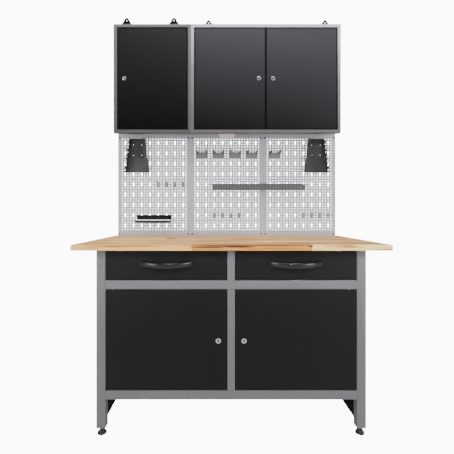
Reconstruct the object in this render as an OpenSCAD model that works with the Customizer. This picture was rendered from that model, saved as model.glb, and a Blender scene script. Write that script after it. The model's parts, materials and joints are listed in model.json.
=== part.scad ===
// Steel workshop bench with two drawers and two cupboards under a glued wooden top.
// Three perforated boards with tool holders stand on the back of the top, and two wall
// cabinets sit on the boards.
// Origin on the floor under the middle of the worktop; X right, Y to the back, Z up.

/* [Worktop] */
// Width of the worktop
worktop_w = 1340; // [1180:10:1700]
// Depth of the worktop
worktop_d = 670; // [560:10:860]
// Thickness of the worktop
worktop_t = 24; // [18:1:50]
// Height of the working surface above the floor
worktop_h = 820; // [700:5:1000]

/* [Bench frame] */
// How far each side of the frame stands in from the end of the worktop
frame_side_inset = 92; // [20:2:140]
// How far the front of the frame stands back from the worktop's front edge
frame_front_inset = 45; // [38:1:80]
// How far the back of the frame stands in from the worktop's rear edge
frame_rear_inset = 45; // [10:1:80]
// Side of a square post
post_w = 40; // [32:1:50]
// Width of the middle partition and its stile
stile_w = 32; // [26:1:50]
// Height of a rail
rail_h = 39; // [28:1:50]
// Depth of a rail, front to back
rail_d = 22; // [18:1:30]
// Wall of the posts and rails
tube_wall = 2; // [1.5:0.1:2.6]
// Thickness of the sheet steel panels
sheet = 1.5; // [1:0.1:2]
// Height of the drawer openings
drawer_bay_h = 131; // [100:1:180]
// Height of the bottom rail above the floor
bottom_rail_z = 154; // [90:1:200]

/* [Feet] */
// Clear height between the floor and a post
foot_h = 32; // [26:1:45]
// Radius of a foot's base
foot_r = 20; // [15:1:24]
// Radius of a foot's threaded stem
stem_r = 6; // [4:0.5:8]

/* [Fronts] */
// Gap around the drawer fronts and doors
front_gap = 2.5; // [1.5:0.1:4]
// How far the fronts stand back from the face of the frame
front_recess = 1.5; // [0:0.1:2]
// Thickness of a bench door or drawer front
front_t = 18; // [14:0.5:18.5]
// Thickness of a wall cabinet door
cabinet_door_t = 16; // [12:0.5:16.5]
// From a bench door's hinge edge to its pin
door_pin_inset = 26.5; // [20:0.5:40]
// From a cabinet door's hinge edge to its pin
cabinet_pin_inset = 16; // [13:0.5:25]
// Radius of a hinge pin
pin_r = 4; // [3:0.25:5]
// Running clearance around pins, stems and lock plugs
running_gap = 0.05; // [0.02:0.01:0.1]

/* [Drawers] */
// Depth of a drawer tray
tray_d = 450; // [350:10:500]
// Height of a drawer tray
tray_h = 92; // [70:1:110]
// How far a drawer pulls out
drawer_travel = 400; // [250:10:420]
// Width of one telescopic slide
slide_w = 13; // [12:0.5:16]
// Height of one telescopic slide
slide_h = 45; // [36:1:52]

/* [Handles] */
// Length of a bow handle
handle_l = 220; // [150:1:260]
// How far a handle bows out of the drawer front
handle_bow = 38; // [28:1:42]
// Height of the handle's bar
handle_h = 26; // [16:1:30]
// Thickness of the handle's bar
handle_t = 13; // [9:1:15]

/* [Locks] */
// Radius of a lock's outer ring
ring_r = 11.5; // [9.5:0.25:13]
// Radius of the lock barrel behind the ring
barrel_r = 9; // [7.5:0.25:9.25]
// Radius of the turning plug
plug_r = 6; // [4.5:0.25:6.5]
// From the locks to the middle of the bench
bench_lock_x = 55; // [46:1:70]
// Height of the bench locks
bench_lock_z = 406; // [300:2:500]

/* [Wall boards] */
// Width of one perforated board
board_w = 433; // [360:1:520]
// Height of a board
board_h = 612; // [500:1:720]
// How far the boards stand off the wall
board_depth = 22; // [15:1:30]
// Pitch of the holes across a board
hole_pitch_x = 16.5; // [14:0.5:20]
// Pitch of the holes down a board
hole_pitch_z = 15.4; // [14:0.2:18]
// From the board's top edge to the first row of holes
first_row = 36.4; // [30:0.2:50]
// Width of a hanging slot at its wide top
slot_w = 10; // [8:0.5:12]

/* [Wall cabinets] */
// How far the cabinets hang down in front of the boards' upper edge
board_overlap = 26; // [20:1:28]
// Width of the small cabinet
small_w = 432; // [360:1:520]
// Width of the large cabinet
large_w = 842; // [700:1:980]
// Height of the cabinets
cabinet_h = 610; // [500:5:740]
// Depth of the cabinets
cabinet_d = 150; // [125:1:180]
// Width of the frame around the cabinet doors
lip_w = 17; // [14:0.5:20]
// Depth of that frame
lip_d = 20; // [19:0.5:26]
// From a cabinet lock to the free edge of its door
cabinet_lock_inset = 38; // [30:1:50]

/* [Hidden] */
$fn = 48;

// Small allowance that lets a cut pass right through a face
cut = 1;
// Gap left between pieces that move past each other
clear = 0.5;

// --- places worked out from the sizes above ---
wall_y = worktop_d / 2;
frame_x = worktop_w / 2 - frame_side_inset;
front_y = frame_front_inset - worktop_d / 2;
rear_y = worktop_d / 2 - frame_rear_inset;
frame_top = worktop_h - worktop_t;
post_x = frame_x - post_w / 2;
bay_x = frame_x - post_w;
stile_x = stile_w / 2;
rail_middle_z = frame_top - drawer_bay_h - rail_h;
deck_z = rail_middle_z + rail_h;
cupboard_z = bottom_rail_z + rail_h;
inner_rear_y = rear_y - sheet - rail_d;
face_y = front_y + front_recess;
face_back_y = face_y + front_t;
rail_back_y = front_y + rail_d;
door_x0 = stile_x + front_gap;
door_x1 = bay_x - front_gap;
pin_x = door_x1 - door_pin_inset;
pin_y = face_y + front_t / 2;

// Locks
ring_proud = 2.5;
cam_t = 3;
cam_w = 10;
cam_gap = 2;
cam_overlap = 6;
key_slot_w = 1.6;
key_slot_d = 5.5;
bench_cam_y = rail_back_y + cam_gap;
bench_cam_l = bench_lock_x - stile_x + cam_overlap;

// Wall boards and cabinets
board_y = wall_y - board_depth;
board_pitch = board_w + 0.3;
board_top_z = worktop_h + board_h;
cabinet_z = board_top_z - board_overlap;
cabinet_y = wall_y - cabinet_d;
cabinets_x = -(small_w + large_w) / 2;
small_x = cabinets_x;
large_x = cabinets_x + small_w;
cabinet_face_y = cabinet_y + front_recess;
cabinet_pin_y = cabinet_face_y + cabinet_door_t / 2;
lip_back_y = cabinet_y + lip_d;
cabinet_cam_y = lip_back_y + cam_gap;
cabinet_cam_l = cabinet_lock_inset + front_gap + lip_w / 3;
cabinet_lock_z = cabinet_z + cabinet_h / 2;
large_mid_x = large_x + large_w / 2;
cabinet_door_z0 = cabinet_z + lip_w + front_gap;
cabinet_door_z1 = cabinet_z + cabinet_h - lip_w - front_gap;
small_door_x0 = small_x + lip_w + front_gap;
small_door_x1 = small_x + small_w - lip_w - front_gap;
large_door_x0 = large_x + lip_w + front_gap;
large_door_x1 = large_x + large_w - lip_w - front_gap;
meeting_gap = 3;
divider_w = 30;

// --- shapes used by several sub-parts ---
module block(x0, x1, y0, y1, z0, z1) {
    translate([x0, y0, z0]) cube([x1 - x0, y1 - y0, z1 - z0]);
}

module bar_y(x, y0, y1, z, r) {
    translate([x, y0, z]) rotate([-90, 0, 0]) cylinder(r = r, h = y1 - y0);
}

module mirrored_x() {
    children();
    mirror([1, 0, 0]) children();
}

// A sheet on the X-Z plane: its front face at y, its thickness to the back
module sheet_xz(y, t) {
    translate([0, y + t, 0]) rotate([90, 0, 0]) linear_extrude(height = t) children();
}

// --- worktop and frame ---
screw_r = 3;
screw_head_r = 6;
screw_head_h = 3.5;
screw_bite = 14;
end_plate = 4;
post_places = [
    [-post_x, front_y + post_w / 2],
    [post_x, front_y + post_w / 2],
    [-post_x, rear_y - post_w / 2],
    [post_x, rear_y - post_w / 2],
];

module worktop() {
    color("burlywood") difference() {
        block(-worktop_w / 2, worktop_w / 2, -wall_y, wall_y, frame_top, worktop_h);
        for (p = post_places)
            translate([p.x, p.y, frame_top - cut]) cylinder(r = screw_r, h = screw_bite + cut);
    }
}

module post(p) {
    color("gray") translate([p.x, p.y, 0]) difference() {
        block(-post_w / 2, post_w / 2, -post_w / 2, post_w / 2, foot_h, frame_top);
        block(tube_wall - post_w / 2, post_w / 2 - tube_wall, tube_wall - post_w / 2,
            post_w / 2 - tube_wall, foot_h + end_plate, frame_top - end_plate);
        translate([0, 0, foot_h - cut]) cylinder(r = stem_r + running_gap, h = end_plate + 2 * cut);
        translate([0, 0, frame_top - end_plate - cut]) cylinder(r = screw_r + clear, h = end_plate + 2 * cut);
    }
}

module rail(y, z) {
    difference() {
        block(-bay_x, bay_x, y, y + rail_d, z, z + rail_h);
        block(-bay_x - cut, bay_x + cut, y + tube_wall, y + rail_d - tube_wall,
            z + tube_wall, z + rail_h - tube_wall);
    }
}

// Holes for the door pins, through one wall of a front rail at height z
module rail_pin_holes(z) {
    for (x = [-pin_x, pin_x])
        translate([x, pin_y, z]) cylinder(r = pin_r, h = tube_wall + 2 * cut);
}

module rail_middle() {
    color("gray") difference() {
        rail(front_y, rail_middle_z);
        rail_pin_holes(rail_middle_z - cut);
    }
}

module rail_bottom() {
    color("gray") difference() {
        rail(front_y, bottom_rail_z);
        rail_pin_holes(cupboard_z - tube_wall - cut);
    }
}

module rear_rails() {
    color("gray") for (z = [bottom_rail_z, frame_top - rail_h]) rail(inner_rear_y, z);
}

module side_panel(side) {
    x = side * post_x;
    color([0.1, 0.1, 0.1])
        block(x - sheet / 2, x + sheet / 2, front_y + post_w, rear_y - post_w, foot_h, frame_top);
}

module back_panel() {
    color([0.1, 0.1, 0.1]) block(-bay_x, bay_x, rear_y - sheet, rear_y, bottom_rail_z, frame_top);
}

// A sheet that fills the frame at height z, notched around the posts
module frame_sheet(z) {
    x = post_x - sheet / 2;
    block(-x, x, front_y + post_w, rear_y - post_w, z - sheet, z);
    block(-bay_x, bay_x, rail_back_y, inner_rear_y, z - sheet, z);
}

module bottom_shelf() {
    color("gray") frame_sheet(cupboard_z);
}

module drawer_deck() {
    color("gray") frame_sheet(deck_z);
}

module partition_upper() {
    color("gray") difference() {
        block(-stile_x, stile_x, front_y, inner_rear_y, deck_z, frame_top);
        block(sheet - stile_x, stile_x - sheet, front_y + sheet, inner_rear_y + cut,
            deck_z - cut, frame_top + cut);
    }
}

module partition_lower() {
    cam_reach = bench_cam_l * 0.75;
    slot_z0 = bench_lock_z - cam_reach;
    slot_z1 = bench_lock_z + cam_w;
    color("gray") difference() {
        union() {
            block(-stile_x, stile_x, front_y, rail_back_y, cupboard_z, rail_middle_z);
            block(-stile_x, stile_x, rail_back_y, inner_rear_y, cupboard_z, deck_z - sheet);
        }
        block(sheet - stile_x, stile_x - sheet, front_y + sheet, inner_rear_y + cut,
            cupboard_z - cut, rail_middle_z - sheet);
        // slot that the lock cams turn into, from both sides
        block(-stile_x - cut, stile_x + cut, bench_cam_y - clear, bench_cam_y + cam_t + clear,
            slot_z0, slot_z1);
    }
}

// Levelling foot: moulded base, hexagon lock nut and threaded stem
foot_rim_h = 7;
foot_top_h = foot_h * 0.6;
nut_h = 6;
nut_r = 10;
stem_in_post = 30;

module foot(p) {
    color([0.12, 0.12, 0.12]) translate([p.x, p.y, 0]) {
        rotate_extrude() polygon([
            [0, 0], [foot_r, 0], [foot_r, foot_rim_h], [foot_r * 0.6, foot_top_h], [0, foot_top_h],
        ]);
        cylinder(r = stem_r, h = foot_h + stem_in_post);
        translate([0, 0, foot_h - nut_h - clear]) cylinder(r = nut_r, h = nut_h, $fn = 6);
    }
}

module screw_up(p) {
    translate([p.x, p.y, frame_top - end_plate - screw_head_h]) {
        cylinder(r = screw_head_r, h = screw_head_h);
        cylinder(r = screw_r, h = screw_head_h + end_plate + screw_bite);
    }
}

// --- telescopic slides and drawers, drawn for the right-hand side ---
slide_sheet = 1.2;
slide_step = 2.2;
fixed_slide_w = slide_w * 0.6;
middle_slide_w = slide_w * 0.75;
runner_half_h = slide_h / 2 - 2.5 * slide_step;
runner_setback = 2;
slide_z = deck_z + 84;
slide_y0 = face_back_y + clear;
drawer_top_gap = 8;
tray_x0 = stile_x + slide_w;
tray_x1 = bay_x - slide_w;
tray_z0 = deck_z + 10;
bay_mid_x = (stile_x + bay_x) / 2;
handle_z = deck_z + 70;
handle_droop = 9;

// A channel from x0 to x1, open on the side away from its web
module channel(x0, x1, web_x, half_h, y1) {
    block(x0, x1, slide_y0, y1, half_h - slide_sheet, half_h);
    block(x0, x1, slide_y0, y1, -half_h, slide_sheet - half_h);
    block(web_x, web_x + slide_sheet, slide_y0, y1, -half_h, half_h);
}

// Places one slide on each side of the drawer
module both_slides() {
    translate([stile_x, 0, slide_z]) children();
    translate([bay_x, 0, slide_z]) mirror([1, 0, 0]) children();
}

module slides_fixed() {
    color("silver") mirrored_x() both_slides()
        channel(0, fixed_slide_w, 0, slide_h / 2, inner_rear_y);
}

module slides_middle() {
    color("silver") both_slides()
        channel(slide_step, middle_slide_w, slide_step, slide_h / 2 - slide_step, slide_y0 + tray_d);
}

module runners() {
    color("silver") both_slides()
        channel(2 * slide_step + clear, slide_w, slide_w - slide_sheet, runner_half_h,
            slide_y0 + tray_d - runner_setback);
}

module drawer_front() {
    z0 = deck_z + front_gap;
    z1 = frame_top - drawer_top_gap;
    color([0.16, 0.16, 0.17]) difference() {
        block(door_x0, door_x1, face_y, face_back_y, z0, z1);
        block(door_x0 + sheet, door_x1 - sheet, face_y + sheet, face_back_y - sheet, z0 - cut, z1 - sheet);
    }
}

module drawer_tray() {
    y1 = face_back_y + tray_d;
    color([0.3, 0.3, 0.32]) difference() {
        block(tray_x0, tray_x1, face_back_y, y1, tray_z0, tray_z0 + tray_h);
        block(tray_x0 + sheet, tray_x1 - sheet, face_back_y + sheet, y1 - sheet,
            tray_z0 + sheet, tray_z0 + tray_h + cut);
    }
}

// Bow handle: an arc of an upright oval bar that leans down a little in the middle
module handle() {
    arc_r = (handle_l * handle_l / 4 + handle_bow * handle_bow) / (2 * handle_bow);
    end_r = handle_t / 2;
    color([0.08, 0.08, 0.08]) translate([bay_mid_x, face_y, handle_z]) intersection() {
        rotate([handle_droop, 0, 0]) translate([0, arc_r - handle_bow, 0])
            rotate_extrude() translate([arc_r - end_r, 0]) {
                square([handle_t, handle_h - handle_t], center = true);
                for (z = [-1, 1]) translate([0, z * (handle_h - handle_t) / 2]) circle(r = end_r);
            }
        block(-handle_l / 2, handle_l / 2, -handle_bow - handle_t, 0, -handle_h, handle_h);
    }
}

// --- doors, locks and hinge pins ---
boss_w = 20;
boss_h = 18;
bore_depth = 16;
pin_in_door = 12;
pin_in_frame = 8;

module door(x0, x1, z0, z1, y, t, hinge_x, lock_x, lock_z) {
    color([0.14, 0.14, 0.15]) difference() {
        union() {
            difference() {
                block(x0, x1, y, y + t, z0, z1);
                block(x0 + sheet, x1 - sheet, y + sheet, y + t + cut, z0 + sheet, z1 - sheet);
            }
            for (z = [z0, z1 - boss_h])
                block(hinge_x - boss_w / 2, hinge_x + boss_w / 2, y + sheet / 2, y + t, z, z + boss_h);
        }
        for (z = [z0 - cut, z1 - bore_depth])
            translate([hinge_x, y + t / 2, z]) cylinder(r = pin_r + running_gap, h = bore_depth + cut);
        bar_y(lock_x, y - cut, y + sheet + cut, lock_z, barrel_r);
    }
}

module lock_housing(x, y, z, cam_y) {
    color("silver") difference() {
        union() {
            bar_y(x, y - ring_proud, y, z, ring_r);
            bar_y(x, y, cam_y - clear, z, barrel_r);
        }
        bar_y(x, y - ring_proud - cut, cam_y, z, plug_r + running_gap);
    }
}

// The plug turns in its housing and carries the cam; the cam hangs down when unlocked
module lock_plug(x, y, z, cam_y, cam_l) {
    color("dimgray") difference() {
        union() {
            bar_y(x, y - ring_proud + clear, cam_y + cam_t, z, plug_r);
            block(x - cam_w / 2, x + cam_w / 2, cam_y, cam_y + cam_t, z - cam_l, z);
        }
        block(x - key_slot_w / 2, x + key_slot_w / 2, y - ring_proud - cut, y - ring_proud + key_slot_d,
            z - plug_r * 0.6, z + plug_r * 0.6);
    }
}

module bench_door() {
    door(door_x0, door_x1, cupboard_z + front_gap, rail_middle_z - front_gap, face_y, front_t,
        pin_x, bench_lock_x, bench_lock_z);
}

module bench_lock() {
    lock_housing(bench_lock_x, face_y, bench_lock_z, bench_cam_y);
}

module bench_plug() {
    lock_plug(bench_lock_x, face_y, bench_lock_z, bench_cam_y, bench_cam_l);
}

// Two pins on the line of one door's hinge, between the heights z0 and z1 of its ends
module pin_pair(x, y, z0, z1, gap) {
    l = pin_in_door + gap + pin_in_frame;
    for (z = [z0 - gap - pin_in_frame, z1 - pin_in_door])
        translate([x, y, z]) cylinder(r = pin_r, h = l);
}

// --- wall cabinets ---
small_pin_x = small_door_x1 - cabinet_pin_inset;
large_pin_x0 = large_door_x0 + cabinet_pin_inset;
large_pin_x1 = large_door_x1 - cabinet_pin_inset;
small_lock_x = small_door_x0 + cabinet_lock_inset;
large_lock_x0 = large_mid_x - meeting_gap / 2 - cabinet_lock_inset;
large_lock_x1 = large_mid_x + meeting_gap / 2 + cabinet_lock_inset;
large_cam_l = cabinet_lock_inset + meeting_gap / 2 - divider_w / 4;

// The back of the floor is stepped up, to stand on the boards' upper edges behind the doors
step_y = cabinet_pin_y + cabinet_pin_inset + cabinet_door_t / 3;
step_z = board_top_z + sheet;

module cabinet_shell(x0, w, pins) {
    x1 = x0 + w;
    z0 = cabinet_z;
    z1 = cabinet_z + cabinet_h;
    difference() {
        union() {
            difference() {
                block(x0, x1, cabinet_y, wall_y, z0, z1);
                block(x0 + sheet, x1 - sheet, cabinet_y + sheet, step_y, z0 + sheet, z1 - sheet);
                block(x0 + sheet, x1 - sheet, step_y - cut, wall_y - sheet, step_z, z1 - sheet);
                block(x0 - cut, x1 + cut, step_y + sheet, wall_y + cut, z0 - cut, board_top_z);
            }
            block(x0 + lip_w - sheet, x1 - lip_w + sheet, cabinet_y, lip_back_y,
                z0 + lip_w - sheet, z1 - lip_w + sheet);
        }
        block(x0 + lip_w, x1 - lip_w, cabinet_y - cut, lip_back_y + cut, z0 + lip_w, z1 - lip_w);
        for (x = pins, z = [z0 + lip_w - sheet - cut, z1 - lip_w - cut])
            translate([x, cabinet_pin_y, z]) cylinder(r = pin_r, h = sheet + 2 * cut);
    }
}

module small_cabinet() {
    color("lightgray") cabinet_shell(small_x, small_w, [small_pin_x]);
}

// The large cabinet also has a divider behind the meeting edges of its two doors
module large_cabinet() {
    x = large_mid_x;
    color("whitesmoke") {
        cabinet_shell(large_x, large_w, [large_pin_x0, large_pin_x1]);
        block(x - divider_w / 2, x + divider_w / 2, lip_back_y - sheet, lip_back_y,
            cabinet_z + lip_w, cabinet_z + cabinet_h - lip_w);
        block(x - sheet / 2, x + sheet / 2, lip_back_y, step_y,
            cabinet_z + sheet, cabinet_z + cabinet_h - sheet);
        block(x - sheet / 2, x + sheet / 2, step_y, wall_y - sheet,
            step_z, cabinet_z + cabinet_h - sheet);
    }
}

module cabinet_door(x0, x1, hinge_x, lock_x) {
    door(x0, x1, cabinet_door_z0, cabinet_door_z1, cabinet_face_y, cabinet_door_t,
        hinge_x, lock_x, cabinet_lock_z);
}

module small_door() {
    cabinet_door(small_door_x0, small_door_x1, small_pin_x, small_lock_x);
}

module large_door_left() {
    cabinet_door(large_door_x0, large_mid_x - meeting_gap / 2, large_pin_x0, large_lock_x0);
}

module large_door_right() {
    cabinet_door(large_mid_x + meeting_gap / 2, large_door_x1, large_pin_x1, large_lock_x1);
}

module cabinet_lock(x) {
    lock_housing(x, cabinet_face_y, cabinet_lock_z, cabinet_cam_y);
}

module cabinet_plug(x, cam_l) {
    lock_plug(x, cabinet_face_y, cabinet_lock_z, cabinet_cam_y, cam_l);
}

module hinge_pins() {
    color("silver") {
        mirrored_x() pin_pair(pin_x, pin_y, cupboard_z + front_gap, rail_middle_z - front_gap, front_gap);
        for (x = [small_pin_x, large_pin_x0, large_pin_x1])
            pin_pair(x, cabinet_pin_y, cabinet_door_z0, cabinet_door_z1, front_gap);
    }
}

// A shelf with its front edge folded down
shelf_fold = 20;
shelf_setback = 15;
bench_shelf_z = 402;
bench_shelf_setback = 34;
cabinet_shelf_rise = 300;

module shelf(x0, x1, y0, y1, z) {
    block(x0, x1, y0, y1, z - sheet, z);
    block(x0, x1, y0, y0 + sheet, z - shelf_fold, z);
}

module shelves() {
    cabinet_shelf_z = cabinet_z + cabinet_shelf_rise;
    cabinet_shelf_y = lip_back_y + shelf_setback;
    color("lightgray") {
        mirrored_x() shelf(stile_x, post_x - sheet / 2, rail_back_y + bench_shelf_setback,
            rear_y - post_w, bench_shelf_z);
        for (x = [
            [small_x + sheet, small_x + small_w - sheet],
            [large_x + sheet, large_mid_x - sheet / 2],
            [large_mid_x + sheet / 2, large_x + large_w - sheet],
        ])
            shelf(x[0], x[1], cabinet_shelf_y, wall_y - sheet, cabinet_shelf_z);
    }
}

// Ears that carry a cabinet on the wall: upright sides, a tapered top and a round hole
lug_t = 3;
lug_foot_d = 24;
lug_hole_r = 5;
lug_tip_r = 9;
lug_shoulder_h = 79;
small_lug_w = 60;
small_lug_h = 117;
large_lug_w = 46;
large_lug_h = 104;
small_lugs = [small_x + small_w * 0.08, small_x + small_w * 0.74];
large_lugs = [large_x + large_w * 0.115, large_x + large_w * 0.948];

module lug(x, w, h) {
    z0 = cabinet_z + cabinet_h;
    difference() {
        union() {
            translate([x, 0, z0]) sheet_xz(wall_y - lug_t, lug_t) union() {
                polygon([[-w / 2, 0], [w / 2, 0], [w / 2, lug_shoulder_h], [lug_tip_r, h - lug_tip_r],
                    [-lug_tip_r, h - lug_tip_r], [-w / 2, lug_shoulder_h]]);
                translate([0, h - lug_tip_r]) circle(r = lug_tip_r);
            }
            block(x - w / 2, x + w / 2, wall_y - lug_foot_d, wall_y, z0, z0 + lug_t);
        }
        bar_y(x, wall_y - lug_t - cut, wall_y + cut, z0 + h - 2 * lug_tip_r, lug_hole_r);
    }
}

module hanging_lugs() {
    color([0.1, 0.1, 0.1]) {
        for (x = small_lugs) lug(x, small_lug_w, small_lug_h);
        for (x = large_lugs) lug(x, large_lug_w, large_lug_h);
    }
}

// --- perforated boards ---
board_sheet = 1.2;
board_edge_margin = 26;
board_bottom_margin = 36;
board_screw_r = 2.5;
board_screw_inset = 11;
board_screw_drop = 28;
board_screw_head_h = 2.5;
rows = floor((board_h - first_row - board_bottom_margin) / hole_pitch_z) + 1;
slot_every_x = 3;
slot_every_z = 4;
// A whole number of slot groups across, so that the slots stand evenly about the board's middle
columns = slot_every_x * floor(((board_w - 2 * board_edge_margin) / hole_pitch_x + 1) / slot_every_x);
first_column = (board_w - (columns - 1) * hole_pitch_x) / 2;
slot_rows = floor((rows - 2) / slot_every_z);
slot_head_h = 9;
slot_neck_w = 6;
slot_h = hole_pitch_z + 7;

// Left edge of board b (0, 1, 2), middle of a column, and middle of a slot
function board_x(b) = (b - 1.5) * board_pitch + (board_pitch - board_w) / 2;
function column_x(b, c) = board_x(b) + first_column + c * hole_pitch_x;
function slot_mid_z(j) = board_top_z - first_row - (slot_every_z * j + 1.5) * hole_pitch_z;

module board(b) {
    x0 = board_x(b);
    x1 = x0 + board_w;
    z1 = worktop_h + board_h;
    color("lightsteelblue") {
        sheet_xz(board_y, board_sheet) difference() {
            translate([x0, worktop_h]) square([board_w, board_h]);
            for (c = [1 : slot_every_x : columns - 1], j = [0 : slot_rows])
                translate([column_x(b, c), slot_mid_z(j)]) union() {
                    translate([-slot_w / 2, slot_h / 2 - slot_head_h]) square([slot_w, slot_head_h]);
                    translate([-slot_neck_w / 2, -slot_h / 2]) square([slot_neck_w, slot_h]);
                }
            for (p = screw_places(b)) translate(p) circle(r = board_screw_r);
        }
        difference() {
            block(x0, x1, board_y, wall_y, worktop_h, z1);
            block(x0 + board_sheet, x1 - board_sheet, board_y - cut, wall_y + cut,
                worktop_h + board_sheet, z1 - board_sheet);
        }
    }
}

function screw_places(b) = [
    for (x = [board_screw_inset, board_w - board_screw_inset])
        for (z = [board_screw_inset, board_h - board_screw_drop])
            [board_x(b) + x, worktop_h + z],
];

module board_screw(p) {
    bar_y(p.x, board_y - board_screw_head_h, board_y, p.y, 2 * board_screw_r);
    bar_y(p.x, board_y, wall_y, p.y, board_screw_r);
}

// Pale plate hooked over the middle board's upper edge, narrower at its foot
plate_top_w = 96;
plate_foot_w = 68;
plate_drop = 29;
plate_t = 2;

module board_plate() {
    color("white") sheet_xz(board_y - plate_t, plate_t) translate([board_x(1) + board_w / 2, board_top_z])
        polygon([[-plate_top_w / 2, 0], [plate_top_w / 2, 0], [plate_top_w / 2, -plate_drop / 2],
            [plate_foot_w / 2, -plate_drop], [-plate_foot_w / 2, -plate_drop],
            [-plate_top_w / 2, -plate_drop / 2]]);
}

module screws() {
    color("silver") {
        for (p = post_places) screw_up(p);
        for (b = [0 : 2], p = screw_places(b)) board_screw(p);
    }
}

// --- what hangs on the boards ---
hang_t = 2;
tongue_w = 4;
tongue_t = 3;
tongue_reach = 6;
tongue_drop = 8;

// Tongue through a slot, with its end turned down behind the sheet
module tongue(x, z) {
    y1 = board_y + tongue_reach;
    block(x - tongue_w / 2, x + tongue_w / 2, board_y - hang_t, y1, z, z + tongue_t);
    block(x - tongue_w / 2, x + tongue_w / 2, y1 - hang_t, y1, z - tongue_drop, z);
}

holder_l = 202;
holder_top_w = 87;
holder_bottom_w = 140;
holder_flange_d = 40;
holder_notches = 8;
holder_notch_d = 14;
notch_foot = 0.35;
notch_top = 0.9;
holder_rise = 25;

// Right-hand spanner holder; its outer flange is notched
module spanner_holder() {
    lean = atan((holder_bottom_w - holder_top_w) / 2 / holder_l);
    flange_l = holder_l / cos(lean);
    notch_pitch = flange_l / holder_notches;
    mid_x = (column_x(2, columns - 8) + column_x(2, columns - 5)) / 2;
    top_z = slot_mid_z(0) + holder_rise;
    translate([mid_x, 0, top_z - holder_l]) {
        sheet_xz(board_y - hang_t, hang_t) polygon([
            [-holder_bottom_w / 2, 0], [holder_bottom_w / 2, 0],
            [holder_top_w / 2, holder_l], [-holder_top_w / 2, holder_l],
        ]);
        for (side = [-1, 1]) mirror([side < 0 ? 1 : 0, 0, 0])
            translate([holder_bottom_w / 2, 0, 0]) rotate([0, -lean, 0]) difference() {
                block(-hang_t, 0, board_y - holder_flange_d, board_y, 0, flange_l);
                if (side > 0) for (i = [0 : holder_notches - 1])
                    block(-hang_t - cut, cut, board_y - holder_flange_d - cut,
                        board_y - holder_flange_d + holder_notch_d,
                        (i + notch_foot) * notch_pitch, (i + notch_top) * notch_pitch);
            }
    }
    for (c = [columns - 8, columns - 5]) tongue(column_x(2, c), slot_mid_z(0));
}

module spanner_holders() {
    color([0.15, 0.15, 0.16]) mirrored_x() spanner_holder();
}

rack_w = 209;
rack_d = 46;
rack_strip_h = 28;
rack_drop = 9;
rack_lip_h = 7;

// Ledge for small tools: a strip on the board and a lipped shelf that slopes down to the front
module rack() {
    mid_x = (column_x(0, 10) + column_x(0, 13)) / 2;
    strip_z = slot_mid_z(slot_rows - 1) - rack_strip_h + 2;
    half_w = rack_w / 2;
    color([0.12, 0.12, 0.12]) {
        block(mid_x - half_w, mid_x + half_w, board_y - hang_t, board_y, strip_z, strip_z + rack_strip_h);
        difference() {
            translate([mid_x, board_y, strip_z]) rotate([atan(rack_drop / rack_d), 0, 0]) {
                block(-half_w, half_w, -rack_d, 0, 0, hang_t);
                block(-half_w, half_w, -rack_d, hang_t - rack_d, -rack_lip_h, 0);
            }
            block(mid_x - rack_w, mid_x + rack_w, board_y, wall_y, strip_z - cut, strip_z + rack_strip_h);
        }
        for (c = [10, 13]) tongue(column_x(0, c), strip_z + rack_strip_h - 6);
    }
}

prong_r = 3.5;
prong_l = 78;
plier_plate_w = 69;
plier_plate_h = 42;
plier_plate_rise = 14;
prong_gap = 48;
prong_tip = 12;

// Plier holder: a plate over two slots with two prongs that turn up at their ends
module plier_holder(b, c) {
    mid_x = (column_x(b, c) + column_x(b, c + slot_every_x)) / 2;
    z1 = slot_mid_z(1) + plier_plate_rise;
    block(mid_x - plier_plate_w / 2, mid_x + plier_plate_w / 2, board_y - hang_t, board_y,
        z1 - plier_plate_h, z1);
    for (x = [-1, 1] * prong_gap / 2) {
        bar_y(mid_x + x, board_y - prong_l, board_y - hang_t, z1 - plier_plate_h / 2, prong_r);
        translate([mid_x + x, board_y - prong_l, z1 - plier_plate_h / 2]) {
            sphere(r = prong_r);
            cylinder(r = prong_r, h = prong_tip);
        }
    }
    for (i = [0, 1]) tongue(column_x(b, c + i * slot_every_x), slot_mid_z(1));
}

module plier_holders() {
    color([0.3, 0.3, 0.32]) {
        for (c = [1 : 2 * slot_every_x : columns - 1 - slot_every_x]) plier_holder(1, c);
        plier_holder(2, 1);
    }
}

tray_w = 272;
tray_front_h = 34;
tray_back_h = 40;
holder_tray_d = 42;
tray_rise = 5;
tray_side = 12.6;

module holder_tray(x0) {
    z0 = slot_mid_z(slot_every_z) - tray_back_h + tray_rise;
    y0 = board_y - holder_tray_d;
    difference() {
        block(x0, x0 + tray_w, y0, board_y, z0, z0 + tray_back_h);
        block(x0 + hang_t, x0 + tray_w - hang_t, y0 + hang_t, board_y - hang_t,
            z0 + hang_t, z0 + tray_back_h + cut);
        block(x0 - cut, x0 + tray_w + cut, y0 - cut, board_y - hang_t,
            z0 + tray_front_h, z0 + tray_back_h + cut);
    }
}

module trays() {
    x0 = column_x(1, 7) - tray_side;
    color([0.35, 0.35, 0.37]) {
        for (i = [0, 1]) holder_tray(x0 + i * (tray_w + clear));
        for (p = [[1, 10], [1, 16], [2, 1], [2, 10]]) tongue(column_x(p.x, p.y), slot_mid_z(slot_every_z));
    }
}

hook_r = 3;
hook_l = 92;
hook_tip = 12;
hook_plate_w = 14;
hook_plate_top = 8;
hook_plate_foot = 22;
hook_rise = 4;

// Single hook: a small plate, a straight arm and a turned-up tip
module hook(b, c, j) {
    x = column_x(b, c);
    z = slot_mid_z(j) + hook_rise;
    block(x - hook_plate_w / 2, x + hook_plate_w / 2, board_y - hang_t, board_y,
        z - hook_plate_foot, z + hook_plate_top);
    bar_y(x, board_y - hook_l, board_y - hang_t, z, hook_r);
    translate([x, board_y - hook_l, z]) {
        sphere(r = hook_r);
        cylinder(r = hook_r, h = hook_tip);
    }
    tongue(x, z - hook_rise);
}

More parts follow.
